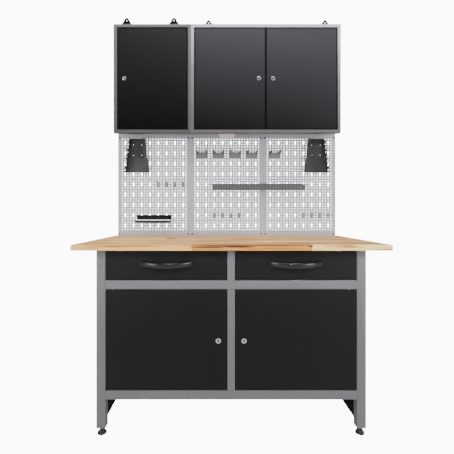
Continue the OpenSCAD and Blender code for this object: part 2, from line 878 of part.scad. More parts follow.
module hooks() {
    color("silver") for (i = [0 : 3]) {
        hook(0, columns - 11 + i * slot_every_x, slot_every_z);
        hook(1, 7 + i * slot_every_x, slot_rows - 1);
        hook(2, columns - 11 + i * slot_every_x, slot_rows - 1);
    }
}

worktop();
post(post_places[0]);  // post_front_left
post(post_places[1]);  // post_front_right
post(post_places[2]);  // post_rear_left
post(post_places[3]);  // post_rear_right
rail_middle();
rail_bottom();
rear_rails();
side_panel(-1);  // side_panel_left
side_panel(1);  // side_panel_right
back_panel();
bottom_shelf();
drawer_deck();
partition_upper();
partition_lower();
foot(post_places[0]);  // foot_front_left
foot(post_places[1]);  // foot_front_right
foot(post_places[2]);  // foot_rear_left
foot(post_places[3]);  // foot_rear_right
screws();
slides_fixed();
mirror([1, 0, 0]) drawer_front();  // drawer_left_front
mirror([1, 0, 0]) drawer_tray();  // drawer_left_tray
mirror([1, 0, 0]) handle();  // drawer_left_handle
mirror([1, 0, 0]) slides_middle();  // drawer_left_slides
mirror([1, 0, 0]) runners();  // drawer_left_runners
drawer_front();  // drawer_right_front
drawer_tray();  // drawer_right_tray
handle();  // drawer_right_handle
slides_middle();  // drawer_right_slides
runners();  // drawer_right_runners
mirror([1, 0, 0]) bench_door();  // door_left
bench_door();  // door_right
mirror([1, 0, 0]) bench_lock();  // lock_left
bench_lock();  // lock_right
mirror([1, 0, 0]) bench_plug();  // plug_left
bench_plug();  // plug_right
hinge_pins();
small_cabinet();
small_door();
cabinet_lock(small_lock_x);  // small_lock
cabinet_plug(small_lock_x, cabinet_cam_l);  // small_plug
large_cabinet();
large_door_left();
large_door_right();
cabinet_lock(large_lock_x0);  // large_lock_left
cabinet_lock(large_lock_x1);  // large_lock_right
cabinet_plug(large_lock_x0, large_cam_l);  // large_plug_left
cabinet_plug(large_lock_x1, large_cam_l);  // large_plug_right
shelves();
hanging_lugs();
board(0);  // board_left
board(1);  // board_middle
board(2);  // board_right
spanner_holders();
rack();
plier_holders();
trays();
hooks();
board_plate();
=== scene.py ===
"""Workshop bench with drawers, tool boards and wall cabinets: meshes, finishes, light and camera."""
import json
import math
import random

import bpy
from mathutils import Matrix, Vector


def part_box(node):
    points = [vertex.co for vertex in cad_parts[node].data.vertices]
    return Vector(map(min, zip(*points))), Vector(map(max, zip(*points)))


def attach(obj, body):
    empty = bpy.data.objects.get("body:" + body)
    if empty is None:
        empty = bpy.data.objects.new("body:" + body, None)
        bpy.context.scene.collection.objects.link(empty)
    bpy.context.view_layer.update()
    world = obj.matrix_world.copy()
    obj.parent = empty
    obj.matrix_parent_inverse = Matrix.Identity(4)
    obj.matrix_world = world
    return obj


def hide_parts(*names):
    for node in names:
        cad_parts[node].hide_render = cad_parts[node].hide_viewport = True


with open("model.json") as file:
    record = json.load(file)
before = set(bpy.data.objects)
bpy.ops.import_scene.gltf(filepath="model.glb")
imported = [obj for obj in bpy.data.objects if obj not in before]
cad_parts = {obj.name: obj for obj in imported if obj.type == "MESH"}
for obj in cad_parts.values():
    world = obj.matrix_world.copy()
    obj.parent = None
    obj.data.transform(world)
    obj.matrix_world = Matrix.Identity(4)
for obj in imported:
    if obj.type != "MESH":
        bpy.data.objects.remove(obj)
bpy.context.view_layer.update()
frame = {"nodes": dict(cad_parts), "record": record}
MM = 0.001
rng = random.Random(7)


# ---------------------------------------------------------------- modelling helpers
def deselect():
    if bpy.context.object and bpy.context.object.mode != "OBJECT":
        bpy.ops.object.mode_set(mode="OBJECT")
    bpy.ops.object.select_all(action="DESELECT")


def select_only(*objects):
    deselect()
    for obj in objects:
        obj.select_set(True)
    bpy.context.view_layer.objects.active = objects[0]


def settle(obj):
    """Moves an object's place, turn and scale into its mesh."""
    select_only(obj)
    bpy.ops.object.transform_apply(location=True, rotation=True, scale=True)
    return obj


def edit(obj, mode="FACE"):
    select_only(obj)
    bpy.ops.object.mode_set(mode="EDIT")
    bpy.ops.mesh.select_mode(type=mode)
    bpy.ops.mesh.select_all(action="DESELECT")


def done(obj):
    bpy.ops.object.mode_set(mode="OBJECT")
    return obj


def pick_faces(obj, test):
    """In edit mode, selects only the faces whose centre and normal pass the test."""
    bpy.ops.mesh.select_all(action="DESELECT")
    bpy.ops.object.mode_set(mode="OBJECT")
    for face in obj.data.polygons:
        face.select = test(face.center, face.normal)
    bpy.ops.object.mode_set(mode="EDIT")


def pick_edges(obj, test):
    """In edit mode, selects only the edges whose two ends pass the test."""
    bpy.ops.mesh.select_all(action="DESELECT")
    bpy.ops.object.mode_set(mode="OBJECT")
    points = obj.data.vertices
    for edge in obj.data.edges:
        edge.select = test(points[edge.vertices[0]].co, points[edge.vertices[1]].co)
    bpy.ops.object.mode_set(mode="EDIT")


def pick_points(obj, test):
    """In edit mode, selects only the vertices whose place passes the test."""
    bpy.ops.mesh.select_all(action="DESELECT")
    bpy.ops.object.mode_set(mode="OBJECT")
    for vertex in obj.data.vertices:
        vertex.select = test(vertex.co)
    bpy.ops.object.mode_set(mode="EDIT")


def smooth(obj, angle=35):
    select_only(obj)
    bpy.ops.object.shade_smooth_by_angle(angle=math.radians(angle))
    return obj


def modify(obj, kind, **settings):
    """Adds a modifier, sets it and applies it."""
    select_only(obj)
    bpy.ops.object.modifier_add(type=kind)
    modifier = obj.modifiers[-1]
    for key, value in settings.items():
        setattr(modifier, key, value)
    bpy.ops.object.modifier_apply(modifier=modifier.name)
    return obj


def soft_edges(obj, width, segments=2, angle=40):
    """Rounds every sharp edge, as folded or deburred metal is."""
    modify(obj, "BEVEL", width=width, segments=segments, limit_method="ANGLE",
           angle_limit=math.radians(angle), use_clamp_overlap=True, harden_normals=False)
    smooth(obj, angle)
    return modify(obj, "WEIGHTED_NORMAL", keep_sharp=True, weight=100)


def block(name, lo, hi):
    lo, hi = Vector(lo), Vector(hi)
    deselect()
    bpy.ops.mesh.primitive_cube_add(size=1, location=(lo + hi) / 2, scale=hi - lo)
    obj = bpy.context.object
    obj.name = name
    return settle(obj)


def rounded_block(name, lo, hi, radius, segments=2):
    return soft_edges(block(name, lo, hi), radius, segments)


TURN = {"X": (0, math.pi / 2, 0), "Y": (math.pi / 2, 0, 0), "Z": (0, 0, 0)}


def rod(name, centre, radius, length, axis, sides=32):
    deselect()
    bpy.ops.mesh.primitive_cylinder_add(vertices=sides, radius=radius, depth=length,
                                        location=centre, rotation=TURN[axis])
    obj = bpy.context.object
    obj.name = name
    return settle(obj)


def turned(name, centre, profile, axis, sides=48):
    """A lathe-turned piece: radius and distance along the axis for each point of its profile."""
    deselect()
    radius, start = profile[0]
    bpy.ops.mesh.primitive_circle_add(vertices=sides, radius=radius, fill_type="NGON")
    obj = bpy.context.object
    obj.name = name
    bpy.ops.object.mode_set(mode="EDIT")
    bpy.ops.mesh.select_all(action="SELECT")
    bpy.ops.transform.translate(value=(0, 0, start))
    for (r0, z0), (r1, z1) in zip(profile, profile[1:]):
        bpy.ops.mesh.extrude_region_move(TRANSFORM_OT_translate={"value": (0, 0, z1 - z0)})
        if abs(r1 - r0) > 1e-9:
            bpy.ops.transform.resize(value=(r1 / r0, r1 / r0, 1))
    bpy.ops.mesh.select_all(action="SELECT")
    bpy.ops.mesh.normals_make_consistent(inside=False)
    done(obj)
    obj.rotation_euler = {"Z": (0, 0, 0), "-Y": (math.pi / 2, 0, 0), "-Z": (math.pi, 0, 0)}[axis]
    obj.location = centre
    return settle(obj)


def join(name, objects):
    select_only(*objects)
    if len(objects) > 1:
        bpy.ops.object.join()
    obj = bpy.context.object
    obj.name = name
    return settle(obj)


def copy_of(obj, name, shift):
    """A copy with its own mesh, moved by shift."""
    select_only(obj)
    bpy.ops.object.duplicate(linked=False)
    new = bpy.context.object
    new.name = name
    new.location = shift
    return settle(new)


def from_cad(node, width, name=None, segments=2, angle=40):
    """A CAD node's shape as a clean mesh with its sharp edges rounded."""
    source = frame["nodes"][node]
    obj = source.copy()
    obj.data = source.data.copy()
    for key in list(obj.keys()):
        del obj[key]
    obj.parent = None
    bpy.context.scene.collection.objects.link(obj)
    obj.name = name or node + "_body"
    edit(obj, "VERT")
    bpy.ops.mesh.select_all(action="SELECT")
    bpy.ops.mesh.remove_doubles(threshold=0.00001)
    bpy.ops.mesh.dissolve_limited(angle_limit=math.radians(0.5))
    done(obj)
    if width:
        soft_edges(obj, width, segments, angle)
    return obj


# ---------------------------------------------------------------- finishes
def srgb(*rgb):
    """Linear values of a colour given as 0 to 255 on a colour card."""
    return tuple((c / 255 / 12.92) if c <= 10 else ((c / 255 + 0.055) / 1.055) ** 2.4 for c in rgb)


class Finish:
    """One material: its node tree, its shader and helpers for patterns in the object's space."""

    def __init__(self, name, colour, roughness, metallic=0.0, **sockets):
        self.material = bpy.data.materials.new(name)
        self.material.use_nodes = True
        self.nodes = self.material.node_tree.nodes
        self.links = self.material.node_tree.links
        self.shader = self.nodes["Principled BSDF"]
        self.shader.inputs["Base Color"].default_value = (*colour, 1)
        self.shader.inputs["Roughness"].default_value = roughness
        self.shader.inputs["Metallic"].default_value = metallic
        for key, value in sockets.items():
            self.shader.inputs[key.replace("_", " ")].default_value = value
        self.place = self.nodes.new("ShaderNodeTexCoord").outputs["Object"]

    def stretched(self, scale, shift=(0, 0, 0)):
        node = self.nodes.new("ShaderNodeMapping")
        node.inputs["Scale"].default_value = scale
        node.inputs["Location"].default_value = shift
        self.links.new(self.place, node.inputs["Vector"])
        return node.outputs["Vector"]

    def noise(self, scale, detail=3.0, rough=0.5, where=None, distortion=0.0):
        node = self.nodes.new("ShaderNodeTexNoise")
        node.inputs["Scale"].default_value = scale
        node.inputs["Detail"].default_value = detail
        node.inputs["Roughness"].default_value = rough
        node.inputs["Distortion"].default_value = distortion
        self.links.new(where or self.place, node.inputs["Vector"])
        return node.outputs["Fac"]

    def ramp(self, factor, stops):
        """Colours or greys along a factor: stops are (position, value)."""
        node = self.nodes.new("ShaderNodeValToRGB")
        points = node.color_ramp.elements
        for i, (position, value) in enumerate(stops):
            point = points[i] if i < 2 else points.new(position)
            point.position = position
            point.color = (*value, 1) if isinstance(value, tuple) else (value, value, value, 1)
        self.links.new(factor, node.inputs["Fac"])
        return node.outputs["Color"]

    def mix(self, factor, first, second, blend="MIX"):
        """Blends two colours; each may be a socket or a value."""
        node = self.nodes.new("ShaderNodeMix")
        node.data_type = "RGBA"
        node.blend_type = blend
        for socket, value in ((node.inputs[0], factor), (node.inputs[6], first), (node.inputs[7], second)):
            if isinstance(value, bpy.types.NodeSocket):
                self.links.new(value, socket)
            elif isinstance(value, tuple):
                socket.default_value = (*value, 1)
            else:
                socket.default_value = value
        return node.outputs[2]

    def colour(self, socket):
        self.links.new(socket, self.shader.inputs["Base Color"])

    def roughness(self, factor, low, high):
        node = self.nodes.new("ShaderNodeMapRange")
        node.inputs["To Min"].default_value = low
        node.inputs["To Max"].default_value = high
        self.links.new(factor, node.inputs["Value"])
        self.links.new(node.outputs["Result"], self.shader.inputs["Roughness"])

    def bump(self, height, strength, distance):
        node = self.nodes.new("ShaderNodeBump")
        node.inputs["Strength"].default_value = strength
        node.inputs["Distance"].default_value = distance
        self.links.new(height, node.inputs["Height"])
        self.links.new(node.outputs["Normal"], self.shader.inputs["Normal"])


def powder_coat(name, colour, roughness, grain=0.10, spread=0.10, **sockets):
    """Baked powder paint: an even colour with faint blotches and a fine orange peel."""
    finish = Finish(name, colour, roughness, **sockets)
    dark = tuple(c * (1 - spread) for c in colour)
    light = tuple(min(1, c * (1 + spread)) for c in colour)
    blotch = finish.ramp(finish.noise(4.5, 4), [(0.3, dark), (0.7, light)])
    speck = finish.ramp(finish.noise(1300, 2), [(0.35, dark), (0.65, light)])
    finish.colour(finish.mix(0.45, blotch, speck))
    finish.roughness(finish.noise(22, 5, 0.6), roughness - 0.06, roughness + 0.07)
    finish.bump(finish.noise(950, 3), grain, 0.0002)
    return finish


def painted_light_coat(name, low, high, roughness, start, end, shine=(0.5, 0.5), halfway=0.5):
    """Powder paint whose colour and shine run from low to high between two points of the object; the change
    of colour is painted light.

    halfway is the share of the colour change that is done midway between the points."""
    finish = Finish(name, high, roughness)
    start, end = Vector(start), Vector(end)
    way = end - start
    ruler = finish.nodes.new("ShaderNodeVectorMath")
    ruler.operation = "DOT_PRODUCT"
    ruler.inputs[1].default_value = way / way.length_squared
    finish.links.new(finish.stretched((1, 1, 1), -start), ruler.inputs[0])
    middle = tuple(a + halfway * (b - a) for a, b in zip(low, high))
    base = finish.ramp(ruler.outputs["Value"], [(0.0, low), (0.5, middle), (1.0, high)])
    speck = finish.ramp(finish.noise(1200, 2), [(0.3, 0.42), (0.7, 0.58)])
    finish.colour(finish.mix(0.25, base, speck, "OVERLAY"))
    if shine[0] == shine[1]:
        finish.shader.inputs["Specular IOR Level"].default_value = shine[0]
    else:
        gloss = finish.ramp(ruler.outputs["Value"], [(0.0, shine[0]), (1.0, shine[1])])
        finish.links.new(gloss, finish.shader.inputs["Specular IOR Level"])
    finish.roughness(finish.noise(22, 5, 0.6), roughness - 0.05, roughness + 0.06)
    finish.bump(finish.noise(950, 3), 0.08, 0.0002)
    return finish


def brushed_metal(name, colour, roughness, scale=(8, 8, 900)):
    """Zinc-plated or brushed steel: fine drawn lines and faint clouding."""
    finish = Finish(name, colour, roughness, metallic=1.0)
    lines = finish.noise(1.0, 4, 0.6, finish.stretched(scale))
    cloud = finish.noise(38, 4, 0.6)
    dark = tuple(c * 0.82 for c in colour)
    finish.colour(finish.mix(cloud, dark, colour))
    finish.roughness(lines, roughness - 0.08, roughness + 0.12)
    finish.bump(lines, 0.12, 0.0001)
    return finish


def moulded_plastic(name, colour, roughness, grain, **sockets):
    finish = Finish(name, colour, roughness, **sockets)
    dark = tuple(c * 0.8 for c in colour)
    light = tuple(c * 1.25 for c in colour)
    finish.colour(finish.ramp(finish.noise(60, 4), [(0.3, dark), (0.7, light)]))
    finish.roughness(finish.noise(45, 5, 0.65), roughness - 0.05, roughness + 0.10)
    finish.bump(finish.noise(1600, 2), grain, 0.00015)
    return finish


# ---------------------------------------------------------------- this object's finishes
CREAM = srgb(255, 230, 146)
STRAW = srgb(246, 202, 120)
TAN = srgb(248, 200, 108)
HONEY = srgb(228, 164, 84)
ROSE = srgb(240, 174, 112)
UMBER = srgb(196, 120, 54)
HEART = srgb(210, 150, 56)
DARK_GRAIN = srgb(96, 42, 14)
BROWN_STREAK = srgb(168, 98, 40)

steel_grey = powder_coat("frame grey powder coat", srgb(105, 105, 108), 0.45)
black_sheet = powder_coat("black panel powder coat", srgb(13, 13, 14), 0.6, Specular_IOR_Level=0.12)
front_black = powder_coat("drawer and door powder coat", srgb(17, 17, 18), 0.5, Specular_IOR_Level=0.2)
# near black: painted shadow round the cabinet doors, and the rims of the hanging lugs
shadow_strip_and_rim_black = powder_coat("black shadow strip and lug rim", srgb(4, 4, 4), 0.6, Specular_IOR_Level=0.1)
screw_black = powder_coat("blackened screw", srgb(30, 30, 32), 0.4)
inner_grey = powder_coat("inner sheet powder coat", srgb(120, 121, 124), 0.5)
holder_black = powder_coat("black holder powder coat", srgb(46, 46, 50), 0.42)
rack_black = powder_coat("black rack powder coat", srgb(12, 12, 13), 0.5, Specular_IOR_Level=0.2)
holder_grey = powder_coat("grey holder powder coat", srgb(84, 85, 89), 0.45)
clip_grey = powder_coat("pale clip powder coat", srgb(128, 129, 135), 0.45)
prong_grey = powder_coat("dark prong powder coat", srgb(58, 59, 62), 0.4)
# also the pale strip on the rack's shelf, which is a painted highlight
plate_white = powder_coat("pale plate powder coat and painted highlight", srgb(252, 252, 254), 0.45, spread=0.03)
board_silver = powder_coat("silver board powder coat", srgb(184, 189, 200), 0.36, grain=0.14)
zinc = brushed_metal("zinc plating", (0.62, 0.62, 0.63), 0.32)
bright_steel = brushed_metal("bright steel wire", (0.72, 0.72, 0.73), 0.22, (60, 8, 60))
lock_chrome = brushed_metal("lock chrome", (0.78, 0.78, 0.79), 0.16, (300, 20, 300))
plug_steel = brushed_metal("lock plug steel", (0.20, 0.20, 0.21), 0.35, (300, 20, 300))
handle_gloss = moulded_plastic("gloss handle plastic", (0.004, 0.004, 0.0045), 0.19, 0.02,
                               Specular_IOR_Level=0.55)
foot_plastic = moulded_plastic("moulded foot plastic", (0.02, 0.02, 0.021), 0.5, 0.15)


def stave_wood():
    """Glued pale staves: each has its own tone and grain, and a few have dark heartwood."""
    finish = Finish("oiled glued wood", TAN, 0.42, Coat_Weight=0.12, Coat_Roughness=0.3)
    nodes, links = finish.nodes, finish.links
    tone = nodes.new("ShaderNodeAttribute")
    tone.attribute_name = "stave_tone"
    own = nodes.new("ShaderNodeAttribute")
    own.attribute_name = "stave_grain"
    split = nodes.new("ShaderNodeSeparateColor")
    links.new(own.outputs["Color"], split.inputs["Color"])
    shift = nodes.new("ShaderNodeVectorMath")
    shift.operation = "MULTIPLY_ADD"
    shift.inputs[1].default_value = (23, 17, 11)
    links.new(own.outputs["Vector"], shift.inputs[0])
    links.new(finish.stretched((1.6, 34, 34)), shift.inputs[2])
    streak = finish.noise(1.0, 6, 0.62, shift.outputs["Vector"], 0.6)
    long_streaks = nodes.new("ShaderNodeVectorMath")
    long_streaks.operation = "MULTIPLY"
    long_streaks.inputs[1].default_value = (1.6, 2.6, 2.6)
    fine = finish.noise(1.0, 4, 0.6, finish.stretched((14, 620, 620)))
    body = finish.mix(finish.ramp(streak, [(0.32, 0.0), (0.68, 1.0)]),
                      finish.mix(1.0, tone.outputs["Color"], srgb(238, 210, 168), "MULTIPLY"),
                      tone.outputs["Color"])
    body = finish.mix(finish.ramp(fine, [(0.35, 0.16), (0.6, 0.0)]), body, srgb(184, 122, 62))
    links.new(shift.outputs["Vector"], long_streaks.inputs[0])
    vein = finish.noise(1.0, 3, 0.5, long_streaks.outputs["Vector"], 0.9)
    body = finish.mix(finish.ramp(vein, [(0.53, 0.0), (0.62, 0.85)]), body, BROWN_STREAK)
    figure = finish.ramp(streak, [(0.50, 0.0), (0.60, 1.0)])
    amount = nodes.new("ShaderNodeMath")
    amount.operation = "MULTIPLY"
    links.new(figure, amount.inputs[0])
    links.new(split.outputs["Blue"], amount.inputs[1])
    finish.colour(finish.mix(amount.outputs["Value"], body, DARK_GRAIN))
    finish.roughness(fine, 0.36, 0.52)
    finish.bump(fine, 0.15, 0.0002)
    return finish


wood = stave_wood()
knot_wood = moulded_plastic("dark knot wood", srgb(78, 32, 10), 0.5, 0.1)
streak_wood = moulded_plastic("warm streak wood", srgb(170, 98, 44), 0.5, 0.1)

low_corner, high_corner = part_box("large_cabinet")
small_low, small_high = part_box("small_cabinet")
# painted light: cabinet frames and doors are lighter towards the top, most also towards the right
large_cabinet_painted_light = painted_light_coat("large cabinet powder coat with painted light", srgb(92, 92, 94), srgb(200, 200, 203), 0.4,
                         (low_corner.x, low_corner.y, low_corner.z + 0.1),
                         (low_corner.x + 0.05, low_corner.y, high_corner.z), halfway=0.2)
small_cabinet_painted_light = painted_light_coat("small cabinet powder coat with painted light", srgb(82, 82, 84), srgb(104, 104, 106), 0.4,
                         small_low, (small_low.x, small_low.y, small_high.z), shine=(0.2, 0.3))
large_door_painted_light = painted_light_coat("large door powder coat with painted light", srgb(11, 11, 12), srgb(56, 56, 61), 0.42,
                              low_corner, (low_corner.x + 0.09, low_corner.y, high_corner.z),
                              shine=(0.1, 0.25))
small_door_painted_light = painted_light_coat("small door powder coat with painted light", srgb(4, 4, 4), srgb(28, 28, 30), 0.42,
                              small_low, (small_low.x + 0.12, small_low.y, small_high.z),
                              shine=(0.08, 0.2))


# ---------------------------------------------------------------- giving pieces their place
node_body = {node: body for body, nodes in frame["record"]["behaviour"]["bodies"].items() for node in nodes}


def keep(obj, slot, finish, *nodes, body=None):
    """Gives a piece its finish, makes it ride on a body and stand for the CAD nodes it shows."""
    obj.data.materials.clear()
    obj.data.materials.append(finish.material)
    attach(obj, body or node_body[nodes[0]])
    if nodes:
        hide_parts(*nodes)
    return obj


def along(node, x=0.5, y=0.5, z=0.5):
    """A point in a node's box, each part given as a share from its low side to its high side."""
    lo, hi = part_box(node)
    return Vector((lo.x + x * (hi.x - lo.x), lo.y + y * (hi.y - lo.y), lo.z + z * (hi.z - lo.z)))


# ---------------------------------------------------------------- worktop
def stave(name, lo, hi, tone, grain, heart):
    obj = rounded_block(name, lo, hi, 0.5 * MM, 1)
    select_only(obj)
    bpy.ops.geometry.color_attribute_add(name="stave_tone", domain="POINT", data_type="FLOAT_COLOR",
                                         color=(*tone, 1))
    bpy.ops.geometry.color_attribute_add(name="stave_grain", domain="POINT", data_type="FLOAT_COLOR",
                                         color=(grain, 1 - grain, heart, 1))
    return obj


MARK_T = 0.5 * MM


def grain_mark(centre, length, width, axis):
    """A dark lens-shaped mark in the wood, pointed at both ends and just proud of the face."""
    obj = rod("mark", centre, width / 2, MARK_T, axis, 24)
    edit(obj)
    bpy.ops.mesh.select_all(action="SELECT")
    bpy.ops.transform.resize(value=(length / width, 1, 1), center_override=centre)
    done(obj)
    return soft_edges(obj, 0.15 * MM, 1)


def grain_marks(name, finish, on_top, on_front):
    """Marks in millimetres, each with its place, length and width.

    Those on the top face lie across and back from its front left corner, and those on the front face
    across and down from it."""
    lo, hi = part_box("worktop")
    lenses = []
    for across, back, length, width in on_top:
        lenses.append(grain_mark((lo.x + across * MM, lo.y + back * MM, hi.z), length * MM, width * MM, "Z"))
    for across, down, length, width in on_front:
        lenses.append(grain_mark((lo.x + across * MM, lo.y, hi.z - down * MM), length * MM, width * MM, "Y"))
    keep(join(name, lenses), "oak_top", finish, body="root")


STAVE_ROWS = 11
HEART_X0, HEART_X1 = 505, 1003  # ends of the dark stave in the front row, mm from the left
ROW_TONES = ([CREAM, TAN, CREAM], [TAN, HONEY, UMBER], [CREAM, STRAW, ROSE], [ROSE, CREAM, CREAM],
             [STRAW, UMBER, HONEY], [CREAM, CREAM, TAN])


def stave_lengths(length):
    """Places of the joints along one row of three staves."""
    return [0.0, length * rng.uniform(0.22, 0.42), length * rng.uniform(0.55, 0.80), length]


def worktop():
    lo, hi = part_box("worktop")
    row_d = (hi.y - lo.y) / STAVE_ROWS
    pieces = []
    for row in range(STAVE_ROWS):
        y0 = lo.y + row * row_d
        if row == 0:
            cuts = [0.0, HEART_X0 * MM, HEART_X1 * MM, hi.x - lo.x]
            tones, hearts = [STRAW, HEART, CREAM], [0.0, 0.35, 0.0]
        else:
            cuts = stave_lengths(hi.x - lo.x)
            tones = ROW_TONES[row % len(ROW_TONES)]
            hearts = [0.35 * rng.random() for _ in cuts[1:]]
        for i, (x0, x1) in enumerate(zip(cuts, cuts[1:])):
            pieces.append(stave(f"stave_{row}_{i}", (lo.x + x0, y0, lo.z), (lo.x + x1, y0 + row_d, hi.z),
                                tones[i], rng.random(), hearts[i]))
    keep(join("worktop_staves", pieces), "oak_top", wood, "worktop")


def worktop_grain():
    """Knots and dark lines round the front row's heart, and warm streaks over the rest of the top."""
    lo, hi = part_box("worktop")
    seam = (hi.y - lo.y) / STAVE_ROWS / MM
    grain_marks("worktop_marks", knot_wood,
                on_top=[(HEART_X1 + 2, seam - 9, 26, 24), (HEART_X1 - 130, seam - 9, 290, 20),
                        (HEART_X0 + 150, seam - 12, 290, 18), (370, 400, 55, 60)],
                on_front=[(HEART_X0 + 115, 3.6, 250, 6), (HEART_X0 + 65, 10.5, 150, 5),
                          (HEART_X0 + 200, 8, 130, 6), (HEART_X1 - 150, 2.4, 310, 4),
                          (HEART_X1 - 4, 5, 20, 8)])
    grain_marks("worktop_streaks", streak_wood,
                on_top=[(200, seam, 330, 26), (620, 200, 420, 30), (800, 340, 330, 44),
                        (1120, 115, 340, 24), (1100, 300, 300, 50)],
                on_front=[(220, 4, 340, 5), (HEART_X0 + 330, 15, 260, 4)])


# ---------------------------------------------------------------- bench frame
def square_tube(name, lo, hi, axis, radius):
    """A closed box section with rounded long edges."""
    obj = block(name, lo, hi)
    edit(obj, "EDGE")
    pick_edges(obj, lambda a, b: abs((a - b)[axis]) > (hi - lo)[axis] * 0.9)
    bpy.ops.mesh.bevel(offset=radius, segments=4, affect="EDGES")
    done(obj)
    return smooth(obj)


def bench_frame():
    for node in ("post_front_left", "post_front_right", "post_rear_left", "post_rear_right"):
        keep(square_tube(node + "_tube", *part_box(node), 2, 3 * MM), "frame_grey", steel_grey, node)
    for node in ("rail_middle", "rail_bottom"):
        keep(square_tube(node + "_tube", *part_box(node), 0, 2.5 * MM), "frame_grey", steel_grey, node)
    lo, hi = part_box("rear_rails")
    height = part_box("rail_bottom")[1].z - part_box("rail_bottom")[0].z
    low = square_tube("rear_rail_low", lo, Vector((hi.x, hi.y, lo.z + height)), 0, 2.5 * MM)
    high = square_tube("rear_rail_high", Vector((lo.x, lo.y, hi.z - height)), hi, 0, 2.5 * MM)
    keep(join("rear_rail_pair", [low, high]), "frame_grey", steel_grey, "rear_rails")
    for node in ("partition_upper", "partition_lower", "bottom_shelf", "drawer_deck"):
        keep(from_cad(node, 0.5 * MM), "frame_grey", steel_grey, node)
    keep(from_cad("shelves", 0.4 * MM), "frame_grey", inner_grey, "shelves")


def pressed_panel(name, lo, hi, axis, outward, margin, depth):
    """A sheet with a shallow field pressed inwards on its outer side."""
    obj = block(name, lo, hi)
    edit(obj)
    pick_faces(obj, lambda centre, normal: normal[axis] * outward > 0.9)
    bpy.ops.mesh.inset(thickness=margin)
    bpy.ops.mesh.inset(thickness=6 * MM)
    shift = [0.0, 0.0, 0.0]
    shift[axis] = -outward * depth
    bpy.ops.transform.translate(value=shift)
    done(obj)
    return soft_edges(obj, 0.6 * MM, 2, 15)


def panels():
    for node, side in (("side_panel_left", -1), ("side_panel_right", 1)):
        keep(pressed_panel(node + "_sheet", *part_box(node), 0, side, 45 * MM, 0.9 * MM),
             "panel_black", black_sheet, node)
    keep(pressed_panel("back_panel_sheet", *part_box("back_panel"), 1, 1, 60 * MM, 0.9 * MM),
         "panel_black", black_sheet, "back_panel")


THREAD_CORE, THREAD_CREST, THREAD_PITCH = 5.2 * MM, 6 * MM, 1.0 * MM


def feet():
    for node in ("foot_front_left", "foot_front_right", "foot_rear_left", "foot_rear_right"):
        lo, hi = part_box(node)
        x, y = (lo.x + hi.x) / 2, (lo.y + hi.y) / 2
        r = (hi.x - lo.x) / 2
        post_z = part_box("post_front_left")[0].z
        top = post_z * 0.6
        base = turned(node + "_base", (x, y, 0), [
            (r * 0.9, 0), (r, 1.5 * MM), (r, 6 * MM), (r * 0.96, 7.5 * MM), (r * 0.72, 11 * MM),
            (r * 0.6, top - 1 * MM), (r * 0.55, top), (r * 0.3, top)], "Z")
        keep(smooth(base), "foot_black", foot_plastic, node)
        ridges = []
        z = top - 2 * MM
        while z < post_z + 3 * MM:
            ridges += [(THREAD_CORE, z), (THREAD_CREST, z + 0.35 * MM), (THREAD_CREST, z + 0.5 * MM),
                       (THREAD_CORE, z + 0.9 * MM)]
            z += THREAD_PITCH
        stem = turned(node + "_stem", (x, y, 0), ridges, "Z", 24)
        nut = rod(node + "_nut", (x, y, post_z - 3.6 * MM), 10 * MM, 6 * MM, "Z", 6)
        soft_edges(nut, 0.7 * MM, 2)
        keep(join(node + "_thread", [stem, nut]), "zinc", zinc, body=node)


# ---------------------------------------------------------------- drawers
DROOP = math.radians(9)
PAD_HALF, PAD_PROUD = 13 * MM, 9 * MM


def bow_handle(node, front):
    """A moulded bow with flat ends, leaning down a little in the middle."""
    lo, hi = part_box(node)
    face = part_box(front)[0].y
    length, bow = hi.x - lo.x, face - lo.y
    bar_h, bar_t = 26 * MM, 13 * MM
    reach = bow - bar_t / 2
    half = length / 2 - 8 * MM
    radius = (half * half + reach * reach) / (2 * reach)
    swing = 2 * math.asin(half / radius)
    middle = Vector(((lo.x + hi.x) / 2, face, hi.z - bar_h / 2 - 0.3 * MM))
    deselect()
    bpy.ops.mesh.primitive_cylinder_add(vertices=24, radius=bar_t / 2, depth=0.1 * MM,
                                        location=middle - Vector((half, 0, 0)), rotation=TURN["X"])
    obj = settle(bpy.context.object)
    obj.name = node + "_bow"
    edit(obj)
    pick_faces(obj, lambda centre, normal: normal.x < 0.9)
    bpy.ops.mesh.delete(type="FACE")
    done(obj)
    edit(obj, "VERT")
    for side in (-1, 1):
        pick_points(obj, lambda point: (point.z - middle.z) * side > 0.01 * MM)
        bpy.ops.transform.translate(value=(0, 0, side * (bar_h - bar_t) / 2))
    bpy.ops.mesh.select_all(action="SELECT")
    pivot = middle + Vector((0, radius - reach, 0))
    start = math.atan2(-half, radius - reach)
    bpy.ops.transform.rotate(value=-start, orient_axis="Z", center_override=middle - Vector((half, 0, 0)))
    bpy.ops.mesh.spin(steps=36, angle=-swing, center=pivot, axis=(0, 0, 1))
    bpy.ops.mesh.select_all(action="SELECT")
    bpy.ops.mesh.remove_doubles(threshold=0.000005)
    bpy.ops.mesh.select_all(action="DESELECT")
    bpy.ops.mesh.select_non_manifold()
    bpy.ops.mesh.edge_face_add()
    bpy.ops.mesh.select_all(action="SELECT")
    bpy.ops.mesh.normals_make_consistent(inside=False)
    bpy.ops.transform.rotate(value=-DROOP, orient_axis="X", center_override=middle)
    return done(obj), middle


def handles():
    for side in ("left", "right"):
        node, front = f"drawer_{side}_handle", f"drawer_{side}_front"
        bow, middle = bow_handle(node, front)
        lo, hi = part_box(node)
        pads = []
        for x in (lo.x + PAD_HALF, hi.x - PAD_HALF):
            pads.append(rounded_block("pad", (x - PAD_HALF, middle.y - PAD_PROUD, middle.z - PAD_HALF),
                                      (x + PAD_HALF, middle.y, middle.z + PAD_HALF), 3.5 * MM, 3))
        keep(smooth(join(f"drawer_{side}_bow_handle", [bow, *pads]), 50), "handle_black", handle_gloss, node)


